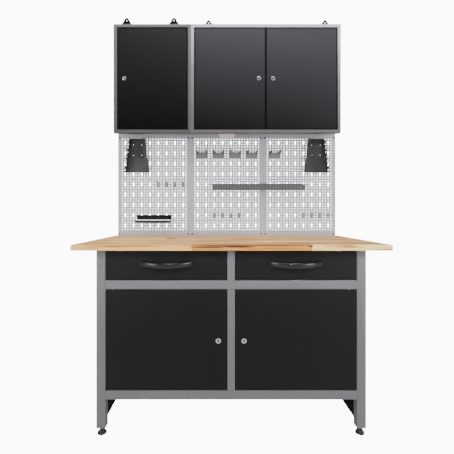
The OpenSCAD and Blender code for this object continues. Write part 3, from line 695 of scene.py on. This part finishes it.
def drawers():
    for side in ("left", "right"):
        keep(from_cad(f"drawer_{side}_front", 1.2 * MM, segments=3), "door_dark", front_black,
             f"drawer_{side}_front")
        keep(from_cad(f"drawer_{side}_tray", 0.5 * MM), "frame_grey", inner_grey, f"drawer_{side}_tray")
        for part in ("slides", "runners"):
            keep(from_cad(f"drawer_{side}_{part}", 0.3 * MM), "zinc", zinc, f"drawer_{side}_{part}")
    keep(from_cad("slides_fixed", 0.3 * MM), "zinc", zinc, "slides_fixed")


# ---------------------------------------------------------------- doors and locks
BARREL_R, RING_R, RING_PROUD, LIP = 9 * MM, 11.5 * MM, 2.5 * MM, 1.4 * MM
PLUG_R, PLUG_BORE = 6 * MM, 6.05 * MM
KEY_W, KEY_H = 1.6 * MM, 7.6 * MM
CAM_W, CAM_T = 10 * MM, 3 * MM


def lock_face(name, centre, back_y):
    """A barrel with a chamfered ring round its plug."""
    ring = turned(name, centre, [
        (BARREL_R, centre[1] - back_y), (BARREL_R, 0), (RING_R, 0), (RING_R, LIP),
        (RING_R - 0.6 * MM, 2.2 * MM), (RING_R - 1.3 * MM, RING_PROUD),
        (PLUG_R + 1.6 * MM, RING_PROUD), (PLUG_R + 0.6 * MM, 1.7 * MM)], "-Y")
    cutter = rod("cutter", centre, PLUG_BORE, 0.2, "Y", 48)
    modify(ring, "BOOLEAN", operation="DIFFERENCE", solver="EXACT", object=cutter)
    bpy.data.objects.remove(cutter)
    return smooth(ring, 25)


def plug_and_cam(name, node, centre):
    """The turning core with its key slot, and the cam behind it."""
    x, z = centre[0], centre[2]
    lo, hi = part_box(node)
    core = turned(name, (x, lo.y, z), [
        (PLUG_R, lo.y - hi.y), (PLUG_R, -0.5 * MM), (PLUG_R - 0.6 * MM, 0)], "-Y", 32)
    slot = block("slot", (x - KEY_W / 2, lo.y - 1 * MM, z - KEY_H / 2),
                 (x + KEY_W / 2, lo.y + 4 * MM, z + KEY_H / 2))
    modify(core, "BOOLEAN", operation="DIFFERENCE", solver="EXACT", object=slot)
    bpy.data.objects.remove(slot)
    cam = rounded_block("cam", (x - CAM_W / 2, hi.y - CAM_T, lo.z),
                        (x + CAM_W / 2, hi.y, z + 4 * MM), 0.6 * MM)
    return smooth(join(name, [core, cam]), 30)


LOCKS = (("lock_left", "plug_left"), ("lock_right", "plug_right"), ("small_lock", "small_plug"),
         ("large_lock_left", "large_plug_left"), ("large_lock_right", "large_plug_right"))


def locks():
    for lock, plug in LOCKS:
        lo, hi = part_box(lock)
        centre = ((lo.x + hi.x) / 2, lo.y + RING_PROUD, (lo.z + hi.z) / 2)
        keep(lock_face(lock + "_ring", centre, hi.y), "lock_chrome", lock_chrome, lock)
        keep(plug_and_cam(plug + "_core", plug, centre), "lock_chrome", plug_steel, plug)


# painted shadow: black strips round the cabinet doors stand in for the shade in the gaps
SHADOW_STRIP_W, SHADOW_STRIP_PROUD, SHADOW_STRIP_INSET = 4 * MM, 0.5 * MM, 0.5 * MM


def shadow_gap_strip(node):
    """A thin black strip round the edge of a front, set in a little: painted shadow in the gap round it."""
    lo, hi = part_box(node)
    x0, x1, z0, z1 = lo.x + SHADOW_STRIP_INSET, hi.x - SHADOW_STRIP_INSET, lo.z + SHADOW_STRIP_INSET, hi.z - SHADOW_STRIP_INSET
    corners = [(x0, z0, x0 + SHADOW_STRIP_W, z1), (x1 - SHADOW_STRIP_W, z0, x1, z1),
               (x0 + SHADOW_STRIP_W, z0, x1 - SHADOW_STRIP_W, z0 + SHADOW_STRIP_W), (x0 + SHADOW_STRIP_W, z1 - SHADOW_STRIP_W, x1 - SHADOW_STRIP_W, z1)]
    strips = []
    for left, low, right, high in corners:
        strips.append(rounded_block("strip", (left, lo.y - SHADOW_STRIP_PROUD, low),
                                    (right, lo.y + SHADOW_STRIP_PROUD, high), 0.2 * MM, 1))
    keep(join(node + "_shadow_strip", strips), "door_dark", shadow_strip_and_rim_black, body=node_body[node])


def doors():
    # black strips round the cabinet doors: painted shadow in the gaps round them
    for node in ("small_door", "large_door_left", "large_door_right"):
        shadow_gap_strip(node)
    for node in ("door_left", "door_right"):
        keep(from_cad(node, 0.7 * MM), "door_dark", front_black, node)
    # the cabinet doors' finishes carry painted light, lighter towards the top
    for node, finish in (("small_door", small_door_painted_light), ("large_door_left", large_door_painted_light),
                         ("large_door_right", large_door_painted_light)):
        keep(from_cad(node, 0.7 * MM), "door_dark", finish, node)
    keep(smooth(from_cad("hinge_pins", 0)), "zinc", zinc, "hinge_pins")


# ---------------------------------------------------------------- wall cabinets
SIDE_OUT = 3 * MM
EAR_HOLE = 3.2 * MM


def ear_rims(low, high, shares, rise, radius):
    """A dark disc round the hole in the tip of each ear on one cabinet."""
    back_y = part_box("hanging_lugs")[1].y
    rims = []
    for share in shares:
        tip = (low.x + share * (high.x - low.x), back_y, high.z + rise)
        rim = turned("rim", tip, [(radius, 0), (radius, 3.2 * MM), (radius - 0.6 * MM, 3.8 * MM)], "-Y", 40)
        cutter = rod("cutter", tip, EAR_HOLE, 20 * MM, "Y", 24)
        modify(rim, "BOOLEAN", operation="DIFFERENCE", solver="EXACT", object=cutter)
        bpy.data.objects.remove(cutter)
        rims.append(smooth(rim))
    return rims


def cabinets():
    small_shell = from_cad("small_cabinet", 0)
    edit(small_shell, "VERT")
    pick_points(small_shell, lambda point: point.x < small_low.x + 0.1 * MM)
    bpy.ops.transform.translate(value=(-SIDE_OUT, 0, 0))
    done(small_shell)
    # the cabinet frames' finishes carry painted light, lighter towards the top
    keep(soft_edges(small_shell, 0.8 * MM), "cabinet_dark", small_cabinet_painted_light, "small_cabinet")
    keep(from_cad("large_cabinet", 0.8 * MM), "cabinet_grey", large_cabinet_painted_light, "large_cabinet")
    keep(from_cad("hanging_lugs", 0.5 * MM), "panel_black", black_sheet, "hanging_lugs")
    rims = ear_rims(small_low, small_high, (0.08, 0.74), 99 * MM, 16 * MM)
    rims += ear_rims(low_corner, high_corner, (0.115, 0.948), 86 * MM, 14 * MM)
    keep(join("lug_rims", rims), "panel_black", shadow_strip_and_rim_black, body=node_body["hanging_lugs"])
    keep(from_cad("board_plate", 0.5 * MM), "plate_white", plate_white, "board_plate")


# ---------------------------------------------------------------- perforated boards
COLUMNS, ROWS = 24, 36
PITCH_X, PITCH_Z = 16.5 * MM, 15.4 * MM
FIRST_ROW = 36.4 * MM
HOLE = 3.6 * MM
SLOT_W, SLOT_NECK = 9 * MM, 5.5 * MM
SLOT_EVERY_X, FIRST_SLOT_COLUMN = 3, 1
SLOT_EVERY_Z, FIRST_SLOT_ROW = 4, 2
BOARD_SHEET = 1.2 * MM
TOUCHING = 1e-5


def on_rim(point, low, high):
    """True where a point lies on a side of the upright rectangle between two corners."""
    near_x = min(abs(point.x - low.x), abs(point.x - high.x)) < TOUCHING
    near_z = min(abs(point.z - low.z), abs(point.z - high.z)) < TOUCHING
    return near_x or near_z


def in_slot(column, row):
    """True for the lower of the two cells of a slot."""
    return column % SLOT_EVERY_X == FIRST_SLOT_COLUMN and row % SLOT_EVERY_Z == FIRST_SLOT_ROW


def perforated_board(node):
    """A grid of cells, each inset round a hole, with slots over two cells and folded edges."""
    lo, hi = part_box(node)
    field_x = lo.x + ((hi.x - lo.x) - COLUMNS * PITCH_X) / 2
    field_top = hi.z - FIRST_ROW + PITCH_Z / 2
    field_w, field_h = COLUMNS * PITCH_X, ROWS * PITCH_Z
    centre = Vector((field_x + field_w / 2, lo.y, field_top - field_h / 2))
    deselect()
    bpy.ops.mesh.primitive_grid_add(x_subdivisions=COLUMNS, y_subdivisions=ROWS, size=1, location=centre,
                                    rotation=(math.pi / 2, 0, 0))
    obj = bpy.context.object
    obj.name = node + "_sheet"
    obj.scale = (field_w, field_h, 1)
    settle(obj)

    def cell(point):
        return int((point.x - field_x) / PITCH_X), int((field_top - point.z) / PITCH_Z)

    edit(obj, "EDGE")

    def across_slot(a, b):
        """The edge between the two cells of one slot."""
        mid = (a + b) / 2
        column = int((mid.x - field_x) / PITCH_X)
        line = round((field_top - mid.z) / PITCH_Z)
        return abs(a.z - b.z) < TOUCHING and in_slot(column, line) and line < ROWS - 1

    pick_edges(obj, across_slot)
    bpy.ops.mesh.dissolve_edges(use_verts=False, use_face_split=False)
    bpy.ops.mesh.select_mode(type="FACE")
    bpy.ops.object.mode_set(mode="OBJECT")
    for face in obj.data.polygons:
        face.select = face.area < PITCH_X * PITCH_Z * 1.5
    bpy.ops.object.mode_set(mode="EDIT")
    bpy.ops.mesh.inset(thickness=(PITCH_Z - HOLE) / 2, use_individual=True)
    bpy.ops.mesh.delete(type="FACE")
    bpy.ops.object.mode_set(mode="OBJECT")
    for face in obj.data.polygons:
        face.select = face.area > PITCH_X * PITCH_Z * 1.5
    bpy.ops.object.mode_set(mode="EDIT")
    bpy.ops.mesh.inset(thickness=(PITCH_X - SLOT_W) / 2, use_individual=True)
    bpy.ops.mesh.delete(type="FACE")
    done(obj)

    def slot_foot(point, side):
        """A lower corner of a slot, on the given side of it."""
        column, row = cell(point)
        across = (point.x - field_x) / PITCH_X - column - 0.5
        down = (field_top - point.z) / PITCH_Z - row
        return in_slot(column, row) and 0.1 < across * side < 0.4 and 0.2 < down < 0.95

    # the lower part of each slot is narrower than its top
    edit(obj, "VERT")
    for side in (-1, 1):
        pick_points(obj, lambda point: slot_foot(point, side))
        bpy.ops.transform.translate(value=(-side * (SLOT_W - SLOT_NECK) / 2, 0, 0))
    done(obj)
    # plain margin round the holes, then the fold back to the wall
    field_low = Vector((field_x, lo.y, field_top - field_h))
    field_high = Vector((field_x + field_w, lo.y, field_top))

    def on_field_side(a, b):
        upright_or_level = min(abs(a.x - b.x), abs(a.z - b.z)) < TOUCHING
        return on_rim(a, field_low, field_high) and on_rim(b, field_low, field_high) and upright_or_level

    edit(obj, "EDGE")
    pick_edges(obj, on_field_side)
    bpy.ops.mesh.extrude_edges_move()
    growth = ((hi.x - lo.x) / field_w, 1, (hi.z - lo.z) / field_h)
    bpy.ops.transform.resize(value=growth, center_override=centre)
    bpy.ops.transform.translate(value=(0, 0, (lo.z + hi.z) / 2 - centre.z))
    bpy.ops.mesh.extrude_edges_move(TRANSFORM_OT_translate={"value": (0, hi.y - lo.y, 0)})
    done(obj)

    def on_front_outline(a, b):
        in_front = abs(a.y - lo.y) + abs(b.y - lo.y) < TOUCHING
        return on_rim(a, lo, hi) and on_rim(b, lo, hi) and in_front

    edit(obj, "EDGE")
    pick_edges(obj, on_front_outline)
    bpy.ops.mesh.bevel(offset=1.6 * MM, segments=3, affect="EDGES")
    done(obj)
    modify(obj, "SOLIDIFY", thickness=BOARD_SHEET, offset=-1, use_even_offset=True)
    return smooth(obj, 30)


def boards():
    for node in ("board_left", "board_middle", "board_right"):
        keep(perforated_board(node), "board_silver", board_silver, node)


def screw_head(name, centre, axis, radius):
    """A pan head with a cross recess."""
    height = radius * 0.5
    head = turned(name, centre, [
        (radius, 0), (radius, height * 0.35), (radius * 0.85, height * 0.8),
        (radius * 0.5, height)], axis, 20)
    across = {"-Y": (0, 1, 0), "-Z": (0, 0, 1)}[axis]
    top = Vector(centre) - Vector(across) * height
    for w, h in ((radius * 1.1, radius * 0.24), (radius * 0.24, radius * 1.1)):
        size = Vector((w, radius * 0.5, h)) if axis == "-Y" else Vector((w, h, radius * 0.5))
        cutter = block("cross", top - size / 2, top + size / 2)
        modify(head, "BOOLEAN", operation="DIFFERENCE", solver="EXACT", object=cutter)
        bpy.data.objects.remove(cutter)
    return smooth(head, 30)


SCREW_R, SCREW_IN, SCREW_DOWN = 5 * MM, 11 * MM, 28 * MM


def screws():
    """Board screws at the corners, and the screws that hold the worktop."""
    first = screw_head("screw", (0, 0, 0), "-Y", SCREW_R)
    shank = rod("shank", (0, 11 * MM, 0), SCREW_R / 2, 22 * MM, "Y", 16)
    first = join("screw", [first, shank])
    heads = []
    for node in ("board_left", "board_middle", "board_right"):
        lo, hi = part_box(node)
        for x in (lo.x + SCREW_IN, hi.x - SCREW_IN):
            for z in (lo.z + SCREW_IN, hi.z - SCREW_DOWN):
                heads.append(copy_of(first, "screw_copy", (x, lo.y, z)))
    bpy.data.objects.remove(first)
    frame_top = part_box("worktop")[0].z
    for node in ("post_front_left", "post_front_right", "post_rear_left", "post_rear_right"):
        middle = along(node)
        place = (middle.x, middle.y, frame_top - 4 * MM)
        heads.append(screw_head("top_screw", place, "-Z", 6 * MM))
        heads.append(rod("top_shank", (middle.x, middle.y, frame_top + 5 * MM), 3 * MM, 17 * MM, "Z", 16))
    keep(join("screw_set", heads), "zinc", screw_black, "screws")


# ---------------------------------------------------------------- what hangs on the boards
def bent_wire(name, start, radius, reach, bend, tip):
    """A wire that runs straight to the front and turns up at its end."""
    x, y, z = start
    deselect()
    bpy.ops.mesh.primitive_circle_add(vertices=14, radius=radius, fill_type="NGON", location=start,
                                      rotation=(math.pi / 2, 0, 0))
    obj = settle(bpy.context.object)
    obj.name = name
    edit(obj)
    bpy.ops.mesh.select_all(action="SELECT")
    bpy.ops.mesh.extrude_region_move(TRANSFORM_OT_translate={"value": (0, -(reach - bend), 0)})
    bpy.ops.mesh.spin(steps=8, angle=math.pi / 2, center=(x, y - reach + bend, z + bend), axis=(-1, 0, 0))
    bpy.ops.mesh.extrude_region_move(TRANSFORM_OT_translate={"value": (0, 0, tip)})
    bpy.ops.mesh.extrude_region_move(TRANSFORM_OT_translate={"value": (0, 0, radius * 0.5)})
    bpy.ops.transform.resize(value=(0.55, 0.55, 1))
    bpy.ops.mesh.select_all(action="SELECT")
    bpy.ops.mesh.remove_doubles(threshold=0.000005)
    bpy.ops.mesh.normals_make_consistent(inside=False)
    return smooth(done(obj), 50)


def column_x(board, column):
    """Place across of a column of holes, counted from the left."""
    lo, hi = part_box(board)
    return lo.x + ((hi.x - lo.x) - (COLUMNS - 1) * PITCH_X) / 2 + column * PITCH_X


def slot_mid_z(j):
    """Height of the middle of the slots in line j, counted from the top."""
    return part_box("board_left")[1].z - FIRST_ROW - (SLOT_EVERY_Z * j + FIRST_SLOT_ROW - 0.5) * PITCH_Z


TONGUE_W = 4 * MM
PLATE_T, PLATE_ROUND = 2 * MM, 0.9 * MM


def tongue(x, z, y):
    """The part of a holder that goes through a slot and turns down behind the sheet."""
    half = TONGUE_W / 2
    through = rounded_block("tongue", (x - half, y - 1 * MM, z),
                            (x + half, y + 6 * MM, z + 3 * MM), 0.5 * MM)
    hanging = rounded_block("tongue", (x - half, y + 4 * MM, z - 8 * MM),
                            (x + half, y + 6 * MM, z + 1 * MM), 0.5 * MM)
    return [through, hanging]


HOOK_COLUMNS = (("board_left", (13, 16, 19, 22), 4), ("board_middle", (7, 10, 13, 16), 7),
                ("board_right", (13, 16, 19, 22), 7))
HOOK_PLATE_W = 14 * MM


def hooks():
    """Wire hooks, each on its own small plate, in one line of slots on each board."""
    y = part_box("board_left")[0].y
    parts = []
    for board, columns, j in HOOK_COLUMNS:
        for column in columns:
            x, z = column_x(board, column), slot_mid_z(j) + 4 * MM
            parts.append(bent_wire("wire", (x, y - 1 * MM, z), 3 * MM, 91 * MM, 7 * MM, 8 * MM))
            parts.append(rounded_block("plate", (x - HOOK_PLATE_W / 2, y - PLATE_T, z - 22 * MM),
                                       (x + HOOK_PLATE_W / 2, y, z + 8 * MM), PLATE_ROUND))
            parts += tongue(x, z - 4 * MM, y)
    keep(join("hook_set", parts), "zinc", bright_steel, "hooks")


PLIER_HALF_W, CORNER_W, CORNER_H = 34.5 * MM, 14 * MM, 10 * MM
PRONG_OFFSET = 27 * MM


def plier_holders():
    """Plates with raised corners and two prongs each, on pairs of slots in the second line."""
    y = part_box("board_left")[0].y
    plates, prongs = [], []
    top = slot_mid_z(1) + 14 * MM
    places = [("board_middle", column) for column in (1, 7, 13, 19)] + [("board_right", 1)]
    for board, column in places:
        pair = (column, column + SLOT_EVERY_X)
        x = (column_x(board, pair[0]) + column_x(board, pair[1])) / 2
        plates.append(rounded_block("plate", (x - PLIER_HALF_W, y - PLATE_T, top - 42 * MM),
                                    (x + PLIER_HALF_W, y, top - 6 * MM), PLATE_ROUND))
        for side in (-1, 1):
            outer = x + side * PLIER_HALF_W
            inner = outer - side * CORNER_W
            plates.append(rounded_block("corner", (min(outer, inner), y - PLATE_T, top - CORNER_H),
                                        (max(outer, inner), y, top), PLATE_ROUND))
            prongs.append(bent_wire("prong", (x + side * PRONG_OFFSET, y - 1 * MM, top - 16 * MM), 3.5 * MM,
                                    77 * MM, 6 * MM, 6 * MM))
        for slot_column in pair:
            plates += tongue(column_x(board, slot_column), slot_mid_z(1), y)
    keep(join("plier_holder_set", plates), "holder_grey", clip_grey, "plier_holders")
    keep(join("plier_prong_set", prongs), "holder_grey", prong_grey, body="root")


HOLDER_NOTCHES = 8
NOTCH_W, NOTCH_D, FLANGE_W = 13 * MM, 27 * MM, 30 * MM
OVERCUT = 5 * MM


def spanner_holders():
    """Tapered plates with side flanges; the outer flange has a row of deep notches."""
    obj = from_cad("spanner_holders", 0.3 * MM)
    lo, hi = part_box("spanner_holders")
    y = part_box("board_left")[0].y
    pitch = (hi.z - lo.z) / HOLDER_NOTCHES
    cutters = []
    for x0, x1 in ((lo.x - OVERCUT, lo.x + FLANGE_W), (hi.x - FLANGE_W, hi.x + OVERCUT)):
        for i in range(HOLDER_NOTCHES):
            z = lo.z + (i + 0.62) * pitch
            cutters.append(block("cutter", (x0, lo.y - OVERCUT, z - NOTCH_W / 2),
                                 (x1, lo.y + NOTCH_D, z + NOTCH_W / 2)))
    for board, columns in (("board_left", (4, 7)), ("board_right", (16, 19))):
        for column in columns:
            for j in (0, 1):
                x, z = column_x(board, column), slot_mid_z(j) - 12 * MM
                cutters.append(rod("cutter", (x, y, z), 1.6 * MM, 12 * MM, "Y", 24))
    for cutter in cutters:
        modify(obj, "BOOLEAN", operation="DIFFERENCE", solver="EXACT", object=cutter)
        bpy.data.objects.remove(cutter)
    keep(smooth(obj), "holder_black", holder_black, "spanner_holders")


RACK_SLOPE = math.atan(9 / 46)
RACK_STRIP_H = 28 * MM
# painted highlight: a pale strip where the rack's sloping black shelf catches the light
HIGHLIGHT_BACK, HIGHLIGHT_FRONT, HIGHLIGHT_LOW, HIGHLIGHT_HIGH, HIGHLIGHT_IN = -3 * MM, -42 * MM, 2 * MM, 2.6 * MM, 3 * MM


def other_holders():
    """The trays, and the rack with a pale strip on its sloping shelf as a painted highlight."""
    keep(from_cad("rack", 0.4 * MM), "holder_black", rack_black, "rack")
    keep(from_cad("trays", 0.4 * MM), "holder_grey", holder_grey, "trays")
    lo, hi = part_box("rack")
    half = (hi.x - lo.x) / 2 - HIGHLIGHT_IN
    highlight_strip = rounded_block("rack_painted_highlight", (-half, HIGHLIGHT_FRONT, HIGHLIGHT_LOW), (half, HIGHLIGHT_BACK, HIGHLIGHT_HIGH), 0.2 * MM, 1)
    highlight_strip.rotation_euler = (RACK_SLOPE, 0, 0)
    highlight_strip.location = ((lo.x + hi.x) / 2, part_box("board_left")[0].y, hi.z - RACK_STRIP_H)
    keep(settle(highlight_strip), "plate_white", plate_white, body="root")


# ---------------------------------------------------------------- building it all
worktop()
worktop_grain()
bench_frame()
panels()
feet()
drawers()
handles()
doors()
locks()
cabinets()
boards()
screws()
hooks()
plier_holders()
spanner_holders()
other_holders()


# ---------------------------------------------------------------- floor, light and camera
BACKDROP = 11.0  # brightness of the floor and the background to the camera
AIR = 0.35  # brightness of the air round the object as a light


def bright_to_camera(tree, soft, target, strength):
    """Joins a soft shader, seen by the light, with a plain white one, seen by the camera."""
    kind = "ShaderNodeEmission" if target.node.type == "OUTPUT_MATERIAL" else "ShaderNodeBackground"
    white = tree.nodes.new(kind)
    white.inputs["Color"].default_value = (1, 1, 1, 1)
    white.inputs["Strength"].default_value = strength
    ray = tree.nodes.new("ShaderNodeLightPath")
    mix = tree.nodes.new("ShaderNodeMixShader")
    tree.links.new(ray.outputs["Is Camera Ray"], mix.inputs[0])
    tree.links.new(soft, mix.inputs[1])
    tree.links.new(white.outputs[0], mix.inputs[2])
    tree.links.new(mix.outputs[0], target)


def studio():
    deselect()
    bpy.ops.mesh.primitive_plane_add(size=40, location=(0, 0, 0))
    floor = bpy.context.object
    floor.name = "floor"
    material = bpy.data.materials.new("pale floor")
    material.use_nodes = True
    tree = material.node_tree
    shader = tree.nodes["Principled BSDF"]
    shader.inputs["Base Color"].default_value = (0.85, 0.85, 0.85, 1)
    shader.inputs["Roughness"].default_value = 0.9
    bright_to_camera(tree, shader.outputs[0], tree.nodes["Material Output"].inputs["Surface"], BACKDROP)
    floor.data.materials.append(material)
    world = bpy.data.worlds.new("studio")
    bpy.context.scene.world = world
    world.use_nodes = True
    tree = world.node_tree
    air = tree.nodes["Background"]
    air.inputs["Color"].default_value = (1, 1, 1, 1)
    air.inputs["Strength"].default_value = AIR
    bright_to_camera(tree, air.outputs[0], tree.nodes["World Output"].inputs["Surface"], BACKDROP)


def lamp(name, place, aim, size, power, spread=180):
    light = bpy.data.lights.new(name, "AREA")
    light.spread = math.radians(spread)
    light.shape = "RECTANGLE"
    light.size, light.size_y = size
    light.energy = power
    obj = bpy.data.objects.new(name, light)
    bpy.context.scene.collection.objects.link(obj)
    obj.location = place
    obj.rotation_euler = (Vector(aim) - Vector(place)).to_track_quat("-Z", "Y").to_euler()


def camera():
    data = bpy.data.cameras.new("camera")
    data.lens = 28.15
    data.shift_x = 0.0253
    data.shift_y = -0.0278
    obj = bpy.data.objects.new("camera", data)
    bpy.context.scene.collection.objects.link(obj)
    obj.location = (-0.067, -1.808, 0.947)
    obj.rotation_euler = (math.pi / 2, 0, 0)
    bpy.context.scene.camera = obj


studio()
lamp("left", (-2.9, -2.7, 1.3), (0, -0.2, 1.1), (1.6, 2.6), 76)
lamp("right", (2.9, -2.7, 1.4), (0, -0.2, 1.1), (1.6, 2.6), 84)
lamp("top", (0.2, -1.0, 3.8), (0, 0, 0.9), (2.4, 1.4), 84)
lamp("band", (0, -2.3, 2.2), (0, -0.25, 0.84), (1.6, 0.1), 2, spread=16)
camera()
